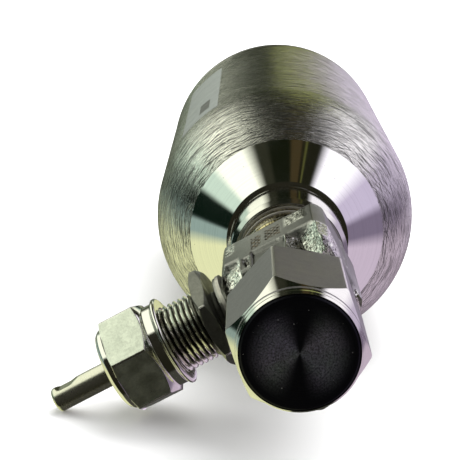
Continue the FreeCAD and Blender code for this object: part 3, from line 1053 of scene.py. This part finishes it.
# ------------------------------------------------------------------------------------------------
# The valve body
# ------------------------------------------------------------------------------------------------
@dataclass
class ValveBody:
    """The forging between the neck boss and the outlet nut."""

    half_side: float = 9.8
    half_across: float = 8.5
    strip_end: float = 49.6
    round_limit: float = 11.8
    back: float = 36.5
    front: float = 59.0
    nose: float = 7.05
    voxel: float = 0.20

    def local(self, spots: np.ndarray) -> np.ndarray:
        """World points in metres as mm towards the port, across it upwards, and along the axis.

        Args:
            spots: points in metres, one to a row.

        Returns:
            The three distances, one point to a row.
        """
        mm = spots / MM
        port = np.array(PORT.out)
        across = np.array(PORT.out.cross(PORT.zero))
        return np.stack([mm @ port, mm @ across, WALL_FRONT - mm[:, 1]], 1)

    def block(self) -> bpy.types.Object:
        """The forging's squared middle, with generous die radii.

        Returns:
            The block, as an object.
        """
        build = bmesh.new()
        bmesh.ops.create_cube(build, size=1.0)
        across = PORT.out.cross(PORT.zero)
        size = (2 * self.half_side, 2 * self.half_across, self.front - self.back - 1.5)
        for vert in build.verts:
            x, y, z = (c * s for c, s in zip(vert.co, size))
            mid = (self.front + self.back) / 2 + z
            vert.co = MAIN.origin + (PORT.out * x + across * y + MAIN.out * mid) * MM
        bmesh.ops.bevel(build, geom=build.edges[:], offset=1.5 * MM, segments=3, profile=0.6, affect="EDGES")
        bmesh.ops.recalc_face_normals(build, faces=build.faces)
        mesh = bpy.data.meshes.new("block")
        build.to_mesh(mesh)
        build.free()
        return make_object("block", mesh)

    @staticmethod
    def ramp(value: np.ndarray, low: float, high: float) -> np.ndarray:
        """Smooth step from 0 at low to 1 at high."""
        t = np.clip((value - low) / (high - low), 0.0, 1.0)
        return t * t * (3 - 2 * t)

    def inside(self, value: np.ndarray, low: float, high: float, soft: float) -> np.ndarray:
        """One between low and high, falling to zero over the soft width at each end."""
        return self.ramp(value, low, low + soft) * (1 - self.ramp(value, high - soft, high))

    def top_level(self, p: np.ndarray, a: np.ndarray) -> tuple[np.ndarray, np.ndarray]:
        """Height of the upper die face and how crusted it is.

        Args:
            p: mm towards the port.
            a: mm forwards.

        Returns:
            The highest w allowed at each spot, and the crust there, from 0 to 1.
        """
        level = np.full(p.shape, self.half_across)
        level -= 1.1 * (1 - self.ramp(a, 36.8, 38.8))
        front = self.ramp(a, self.strip_end, self.strip_end + 1.0)
        valley = front * self.inside(p, -8.9, -2.6, 0.4)
        slope = np.where(p < -5.0, (p + 8.9) / 3.9, (-2.9 - p) / 2.1)
        fall = np.clip(a - self.strip_end, 0.0, 8.0)
        level -= valley * (2.2 * np.clip(slope, 0.0, 1.0) + 0.36 * fall)
        pocket = front * self.inside(p, 5.3, 9.9, 0.4)
        level -= pocket * (0.7 + 0.30 * np.clip(p - 5.7, 0, 4) + 0.34 * fall)
        dimple = self.inside(p, 3.5, 5.1, 0.4) * self.inside(a, 51.5, 57.5, 0.7)
        level -= 1.2 * dimple
        level -= 0.8 * front * self.inside(p, -2.9, 3.5, 0.4)
        crust = np.maximum.reduce([valley, pocket, dimple])
        ends = self.inside(p, 6.2, 8.6, 0.7) + self.inside(p, -7.4, -2.8, 0.8)
        rim = 0.8 * (p < -8.3) * front
        return level, np.clip(crust + 0.9 * ends * self.inside(a, 38.5, 46.0, 1.5) + rim, 0, 1)

    def stamps(self, p: np.ndarray, a: np.ndarray) -> np.ndarray:
        """Two plain sunk rectangles, with a plain grid of bars in each.

        Args:
            p: mm towards the port.
            a: mm forwards.

        Returns:
            How deep the stamps are at each spot, from 0 to 1.
        """
        first = self.inside(p, 1.3, 3.3, 0.2) * self.inside(a, 41.5, 49.0, 0.3)
        second = self.inside(p, -2.4, 0.6, 0.2) * self.inside(a, 41.0, 47.6, 0.3)
        bars = 0.65 + 0.35 * np.sign(np.sin(p * 5.2) * np.sin(a * 3.1))
        return np.maximum(first, second) * bars

    def crust(self, mesh: bpy.types.Mesh) -> None:
        """Cuts the die face's pockets and stamps, and roughens the crust.

        Args:
            mesh: the forging's mesh, which is changed.
        """
        count = len(mesh.vertices)
        spots, normals = np.zeros(count * 3), np.zeros(count * 3)
        mesh.vertices.foreach_get("co", spots)
        mesh.vertices.foreach_get("normal", normals)
        spots, normals = spots.reshape(-1, 3), normals.reshape(-1, 3)
        port, across = np.array(PORT.out), np.array(PORT.out.cross(PORT.zero))
        p, w, a = self.local(spots).T
        facing = normals @ across
        squared = self.inside(a, 36.9, 60.2, 0.5)
        level, crust = self.top_level(p, a)
        stamp = self.stamps(p, a) * (facing > 0.5)
        upper = np.clip((w - 2.0) / 1.5, 0, 1) * squared
        cut = np.minimum(level - w, 0.0) * upper
        low_level, low_crust = self.top_level(-p, a)
        under = np.clip((-w - 2.0) / 1.5, 0, 1) * squared
        cut += np.maximum(-low_level - w, 0.0) * under
        spots += np.outer(cut * MM, across)
        line = np.exp(-(w / 0.45) ** 2) * (np.abs(p) > 8.2) * squared
        spots += np.outer(0.25 * line * self.inside(a, 38.0, 57.0, 2.0) * np.sign(p) * MM, port)
        p, w, a = self.local(spots).T
        reach = np.hypot(p, w)
        limit = self.round_limit - 0.9 * (w < 0)
        trim = np.where(squared > 0.5, np.minimum(1.0, limit / np.maximum(reach, 1e-6)), 1.0)
        spots += (trim - 1.0)[:, None] * (np.outer(p, port) + np.outer(w, across)) * MM
        rough = crust * upper + low_crust * under
        grain = np.array([noise.noise(Vector(x) * 1500) for x in spots])
        slow = np.array([noise.noise(Vector(x) * 520 + Vector((0, 0, 9))) for x in spots])
        shift = rough * (0.11 * grain + 0.12 * slow) + squared * 0.05 * slow - 0.14 * stamp
        spots += normals * (shift * MM)[:, None]
        mesh.vertices.foreach_set("co", spots.ravel())
        for name, values in (("crust", np.clip(rough, 0, 1)), ("stamp", np.clip(stamp, 0, 1))):
            layer = mesh.attributes.new(name, "FLOAT", "POINT")
            layer.data.foreach_set("value", values.astype(np.float32))
        mesh.update()

    def build(self) -> None:
        """Joins the forging's volumes into one skin and roughens it."""
        volumes = [
            self.block(),
            turned("f_neck", MAIN, [(0.0, 33.9), (8.6, 33.9, 0.2), (8.6, 36.4, 0.4), (9.6, 40.0, 1.0),
                                    (9.6, 44.0), (0.0, 44.0)], 96),
            turned("f_boss", PORT, [(0.0, 0.0), (8.0, 0.0), (8.0, 9.8, 0.6), (7.0, 10.75, 0.3),
                                    (0.0, 10.75)], 96),
            turned("f_front", MAIN, [(0.0, 50.0), (9.0, 50.0), (9.0, 57.5, 0.6), (8.0, 59.2, 0.5),
                                     (8.0, 60.6, 0.3), (0.0, 60.6)], 96)]
        for part in volumes:
            part.modifiers.clear()
        with bpy.context.temp_override(active_object=volumes[0], selected_editable_objects=volumes):
            bpy.ops.object.join()
        body = volumes[0]
        modifier = body.modifiers.new("skin", "REMESH")
        modifier.mode = "VOXEL"
        modifier.voxel_size = self.voxel * MM
        smooth = body.modifiers.new("dies", "SMOOTH")
        smooth.factor = 0.5
        smooth.iterations = 4
        flat = bpy.data.meshes.new_from_object(body.evaluated_get(bpy.context.evaluated_depsgraph_get()))
        bpy.data.objects.remove(body)
        self.crust(flat)
        flat.shade_smooth()
        flat.name = "forging"
        dress(make_object("forging", flat), Look.FORGING, "vessel", "forged_steel", "valve_body")
        ring = [(6.0, 31.85), (8.62, 31.85, 0.15), (8.68, 37.2), (8.4, 37.8), (6.0, 37.8)]
        dress(turned("valve_neck", MAIN, ring, 144), Look.COLLAR, "vessel", "forged_steel")
        nose = [(1.8, 60.0), (6.3, 60.0), (6.3, 63.2), (self.nose, 63.9), (self.nose, 71.2),
                (6.2, 72.0), (1.8, 72.0)]
        dress(turned("outlet_nose", MAIN, nose, 96), Look.THREAD, "vessel", "forged_steel")
        refinish(Look.SEAL, "seat_insert")


# ------------------------------------------------------------------------------------------------
# The side port
# ------------------------------------------------------------------------------------------------
@dataclass
class SidePort:
    """Bonnet, packing nut and bare stem."""

    stem: float = 2.18
    stem_end: float = 46.0
    thread: float = 5.97
    thread_depth: float = 0.72
    pitch: float = 0.95
    bore: float = 6.08
    liner: float = 3.3
    notch_start: float = 40.2
    notch_end: float = 45.1
    notch_depth: float = 0.55
    hexagon: float = 16.0
    flange_back: float = 13.2
    flange_front: float = 15.5
    bonnet_top: float = 30.6

    def build_bonnet(self) -> None:
        """Round neck and hexagon flange."""
        shape = Hexagon(self.hexagon, 33.0, 0.12)
        back, front = self.flange_back, self.flange_front
        piece = hexed("bonnet_flange", PORT, shape,
                      [(self.liner, 10.9), (6.2, 10.9), (6.2, 12.0, 0.15), (4.4, 12.3, 0.2), (4.25, 12.6),
                       (4.25, back, 0.2)],
                      ((8.1, back), (9.4, back + 0.8), (9.4, front - 0.8), (8.1, front)),
                      [(5.2, front), (5.2, front - 0.4), (self.liner, front - 0.4)])
        dress(piece, Look.FLANGE, "vessel", "satin_nut", "bonnet")

    def build_thread(self) -> None:
        """The panel thread, as a true right-hand helix."""
        low, high = self.flange_front - 0.3, self.bonnet_top
        rows = int((high - low) / self.pitch * 12)

        def profile(angle: float) -> list[Point]:
            """The thread's section at one angle.

            Args:
                angle: turn about the axis, in radians.

            Returns:
                The section's (radius, along) points.
            """
            section = [(self.liner, low)]
            for k in range(rows + 1):
                along = low + (high - low) * k / rows
                phase = ((along - low) / self.pitch - angle / (2 * math.pi)) % 1.0
                tooth = clamp((abs(phase - 0.5) * 2 - 0.10) / 0.80)
                fade = clamp((along - low - 0.5) / 0.7) * clamp((high - along) / 0.5)
                section.append((self.thread - self.thread_depth * (1 - (1 - tooth) * fade), along))
            section.append((self.liner, high))
            return section

        piece = skin("panel_thread", PORT, round_columns(96), profile)
        # how deep each point sits in the valleys; the thread finish paints shade from it
        layer = piece.data.attributes.new("valley", "FLOAT", "POINT")
        for vertex, value in zip(piece.data.vertices, layer.data):
            value.value = clamp((self.thread - PORT.reach(vertex.co) / MM) / self.thread_depth)
        dress(piece, Look.THREAD, "vessel", "satin_nut")

    def build_nut(self) -> None:
        """Hexagon packing nut with a collar at each end and a lip ring."""
        shape = Hexagon(self.hexagon, 20.0, 0.12)
        piece = hexed("packing_nut", PORT, shape,
                      [(self.bore, 23.2), (7.1, 23.2, 0.1), (7.35, 23.45, 0.1), (7.35, 25.0, 0.15)],
                      ((7.75, 25.2), (9.3, 26.1), (9.3, 32.2), (8.3, 32.6)),
                      [(7.4, 32.65, 0.1), (7.4, 33.6, 0.15), (6.9, 34.2, 0.1), (2.6, 34.2, 0.1), (2.6, 32.0),
                       (self.bore, 32.0)])
        dress(piece, Look.SIDE_NUT, "packing_nut", "satin_nut", "packing_nut")
        polish_ends(piece, PORT, shape, Look.BRIGHT)
        lip = [(self.bore, 22.4), (7.6, 22.4, 0.1), (7.9, 22.65, 0.1), (7.9, 23.0, 0.1), (7.7, 23.2, 0.1),
               (self.bore, 23.2)]
        dress(turned("lip_ring", PORT, lip), Look.BRIGHT, "packing_nut", "turned_steel", "nut_lip_ring")
        refinish(Look.BRIGHT, "packing_gland")

    def build_stem(self) -> None:
        """Bare stem with a rounded end and the set screw's notch."""
        r = self.stem
        rows = [(q, r) for q in np.linspace(25.7, self.stem_end - 0.6, 90)]
        rows += [(self.stem_end - 0.32, r - 0.07), (self.stem_end - 0.12, r - 0.25), (self.stem_end, r - 0.6)]

        def profile(angle: float) -> list[Point]:
            """The stem's section, cut back where the notch crosses it.

            Args:
                angle: turn about the axis, in radians.

            Returns:
                The section's (radius, along) points.
            """
            section = [(0.0, 21.6), (2.05, 21.6), (2.05, 18.8), (3.0, 18.8), (3.2, 19.1), (3.2, 25.3),
                       (2.9, 25.7)]
            up = math.sin(angle)
            for q, radius in rows:
                ramp = clamp((q - self.notch_start) / 2.0) * clamp((self.notch_end - q) / 0.7)
                level = r + 0.05 - self.notch_depth * ramp
                section.append((min(radius, level / up) if up > 0.2 else radius, q))
            return section + [(0.0, self.stem_end)]

        piece = weigh(skin("stem", PORT, round_columns(96), profile))
        dress(piece, Look.STEM, "spindle", "turned_steel", "stem_upper")
        refinish(Look.BRIGHT, "stem_clip", "stem_lower", "needle_tip")

    def build(self) -> None:
        """Builds every piece of the side port."""
        self.build_bonnet()
        self.build_thread()
        self.build_nut()
        self.build_stem()
        refinish(Look.WASHER, "bonnet_gasket")
        refinish(Look.SEAL, "stem_guide", "packing_lower", "packing_upper")


# ------------------------------------------------------------------------------------------------
# The outlet
# ------------------------------------------------------------------------------------------------
@dataclass
class Outlet:
    """Hexagon nut, its collar and the dark end disc."""

    across: float = 19.0
    turn: float = -7.6
    back: float = 61.8
    disc: float = 8.76
    collar: float = 9.4

    def build(self) -> None:
        """Builds the nut and the disc."""
        shape = Hexagon(self.across, self.turn, 0.13)
        step, gap = self.collar - 0.18, self.disc + 0.04
        piece = hexed("outlet_nut", MAIN, shape,
                      [(7.2, self.back), (7.8, self.back, 0.1)],
                      ((9.6, self.back), (11.2, self.back + 0.7), (11.2, 78.7), (self.collar, 81.4)),
                      [(self.collar, 82.25, 0.08), (step, 82.45, 0.08), (step, 83.0, 0.12),
                       (self.disc + 0.12, 83.35, 0.08), (gap, 83.1), (gap, 80.9), (5.2, 80.9),
                       (5.2, 78.0), (7.2, 78.0)])
        dress(piece, Look.NUT, "outlet_nut", "satin_nut", "outlet_nut")
        polish_ends(piece, MAIN, shape, Look.BRIGHT)
        face = [(0.0, 80.7), (self.disc, 80.7), (self.disc, 83.25, 0.1), (self.disc - 0.3, 83.58, 0.1)]
        rings = [(self.disc - 0.35 - (self.disc - 0.4) * k / 60, 83.6) for k in range(61)]
        dress(turned("end_disc", MAIN, face + rings, 192), Look.DISC, "outlet_nut", "dark_disc", "end_disc")
        refinish(Look.BRIGHT, "blind_plug")
        refinish(Look.WASHER, "outlet_gasket")


# ------------------------------------------------------------------------------------------------
# The studio
# ------------------------------------------------------------------------------------------------
@dataclass(frozen=True)
class Band:
    """A band of the surround, by its angle round the cylinder's axis: 0 is right and 90 is up."""

    start: float
    end: float
    colour: Colour


@dataclass
class Surround:
    """A tent of light and dark bands that only shows in reflections."""

    ahead: tuple[Band, ...] = (
        Band(-90, -64, (0.06, 0.06, 0.05)), Band(-58, -18, (0.62, 0.51, 0.64)),
        Band(-10, 2, (0.21, 0.17, 0.25)), Band(8, 24, (0.62, 0.54, 0.72)), Band(36, 58, (1.22, 1.18, 1.28)),
        Band(65, 74.7, (0.012, 0.012, 0.006)), Band(75.3, 75.5, (0.34, 0.36, 0.10)),
        Band(76.1, 79, (0.012, 0.010, 0.004)), Band(80, 87, (0.05, 0.036, 0.014)),
        Band(89, 104, (0.006, 0.008, 0.003)), Band(108, 116, (0.026, 0.027, 0.016)),
        Band(127, 147, (1.30, 1.33, 1.12)), Band(153, 164, (0.66, 0.82, 0.68)),
        Band(168, 184, (0.004, 0.010, 0.006)), Band(187, 194, (0.30, 0.40, 0.36)),
        Band(202, 236, (0.84, 0.86, 0.50)))
    behind: tuple[Band, ...] = (
        Band(-90, -40, (0.12, 0.10, 0.12)), Band(-28, 18, (1.00, 0.88, 1.10)),
        Band(27, 46, (0.04, 0.04, 0.036)), Band(54, 80, (0.42, 0.45, 0.17)),
        Band(88, 150, (0.035, 0.040, 0.022)), Band(162, 200, (0.20, 0.23, 0.16)),
        Band(215, 240, (0.08, 0.085, 0.05)), Band(255, 270, (0.10, 0.10, 0.09)))
    dim: Colour = (0.016, 0.015, 0.009)

    @staticmethod
    def ramp(graph: Graph, turn: bpy.types.NodeSocket, bands: Sequence[Band]) -> bpy.types.NodeSocket:
        """Colour ramp through the bands, with soft changes between them.

        Args:
            graph: the world's graph.
            turn: place round the axis, from 0 to 1.
            bands: the bands, in order.

        Returns:
            The colour.
        """
        node = graph.add("ValToRGB", {0: turn})
        stops = node.color_ramp.elements
        while len(stops) > 1:
            stops.remove(stops[-1])
        edges = [(band.start, band.colour) for band in bands] + [(band.end, band.colour) for band in bands]
        for k, (angle, colour) in enumerate(sorted(edges)):
            place = (angle + 90.0) / 360.0
            spot = stops[0] if k == 0 else stops.new(place)
            spot.position = place
            spot.color = (*colour, 1.0)
        return node.outputs[0]

    def build(self, daylight: float) -> None:
        """Makes the world: the tent for reflections, and plain white for everything else.

        Args:
            daylight: how bright the plain white is.
        """
        world = bpy.data.worlds.new("studio")
        bpy.context.scene.world = world
        world.use_nodes = True
        tree = world.node_tree
        tree.nodes.clear()
        g = Graph(tree)
        way = g.add("SeparateXYZ", {0: g.add("TexCoord").outputs["Generated"]})
        angle = g.math("ARCTAN2", way.outputs[0], way.outputs[2])
        turn = g.minus(0.5, g.math("DIVIDE", angle, 2 * math.pi))
        ahead, behind = self.ramp(g, turn, self.ahead), self.ramp(g, turn, self.behind)
        tent = g.tint(g.fit(way.outputs[1], 0.72, 0.92), ahead, behind)
        tent = g.tint(g.fit(way.outputs[1], -0.43, -0.54), tent, self.dim)
        shiny = g.add("LightPath").outputs["Is Glossy Ray"]
        colour = g.tint(shiny, (daylight, daylight, daylight), tent)
        back = g.add("Background", {"Color": colour, "Strength": 1.0})
        out = g.add("OutputWorld")
        tree.links.new(back.outputs[0], out.inputs[0])


@dataclass
class Studio:
    """Floor, top lamp, surround and camera."""

    floor: float = -25.4
    eye: Vector = field(default_factory=lambda: Vector((-10.8, -307.7, 66.0)) * MM)
    aim: Vector = field(default_factory=lambda: Vector((-10.74, 12.07, -15.65)) * MM)
    roll: float = -2.61
    focal: float = 109.57
    daylight: float = 1.04

    def build_floor(self) -> None:
        """Pale sweep under the object."""
        mesh = bpy.data.meshes.new("floor")
        mesh.from_pydata([(-4, -4, 0), (4, -4, 0), (4, 8, 0), (-4, 8, 0)], [], [(0, 1, 2, 3)])
        floor = make_object("floor", mesh)
        floor.location.z = self.floor * MM - 0.0001
        material = bpy.data.materials.new("pale_floor")
        material.use_nodes = True
        surface = material.node_tree.nodes["Principled BSDF"]
        surface.inputs["Base Color"].default_value = (0.93, 0.93, 0.93, 1)
        surface.inputs["Roughness"].default_value = 0.9
        surface.inputs["Specular IOR Level"].default_value = 0.0
        mesh.materials.append(material)
        floor.visible_glossy = False

    def lamp(self, name: str, place: tuple[float, float, float], size: float, power: float) -> None:
        """A soft lamp for the floor and the dull pieces, not seen in reflections.

        Args:
            name: the lamp's name.
            place: where it stands, in metres.
            size: its width, in metres.
            power: its power, in watts.
        """
        data = bpy.data.lights.new(name, "AREA")
        data.size = size
        data.energy = power
        lamp = bpy.data.objects.new(name, data)
        bpy.context.scene.collection.objects.link(lamp)
        lamp.location = place
        lamp.rotation_euler = (-Vector(place)).to_track_quat("-Z", "Y").to_euler()
        lamp.visible_glossy = False

    def build_camera(self) -> None:
        """Camera a little above the axis, looking along it."""
        data = bpy.data.cameras.new("view")
        data.lens = self.focal
        data.sensor_width = 36.0
        data.clip_start = 0.01
        camera = bpy.data.objects.new("view", data)
        bpy.context.scene.collection.objects.link(camera)
        ahead = (self.aim - self.eye).normalized()
        right = ahead.cross(Vector((0, 0, 1))).normalized()
        up = right.cross(ahead)
        tilt = math.radians(self.roll)
        right, up = right * math.cos(tilt) - up * math.sin(tilt), up * math.cos(tilt) + right * math.sin(tilt)
        turn = Matrix((right, up, -ahead)).transposed().to_4x4()
        camera.matrix_world = Matrix.Translation(self.eye) @ turn
        bpy.context.scene.camera = camera

    def build(self) -> None:
        """Builds the whole studio."""
        self.build_floor()
        Surround().build(self.daylight)
        self.lamp("top_lamp", (0.25, 0.45, 0.95), 1.1, 17.0)
        bpy.context.scene.view_settings.view_transform = "Standard"
        self.build_camera()


def main() -> None:
    """Builds the studio and every sub-assembly."""
    logging.basicConfig(level=logging.INFO, format="%(name)s: %(message)s")
    Studio().build()
    Vessel().build()
    ValveBody().build()
    SidePort().build()
    Outlet().build()


if __name__ == "__main__":
    main()
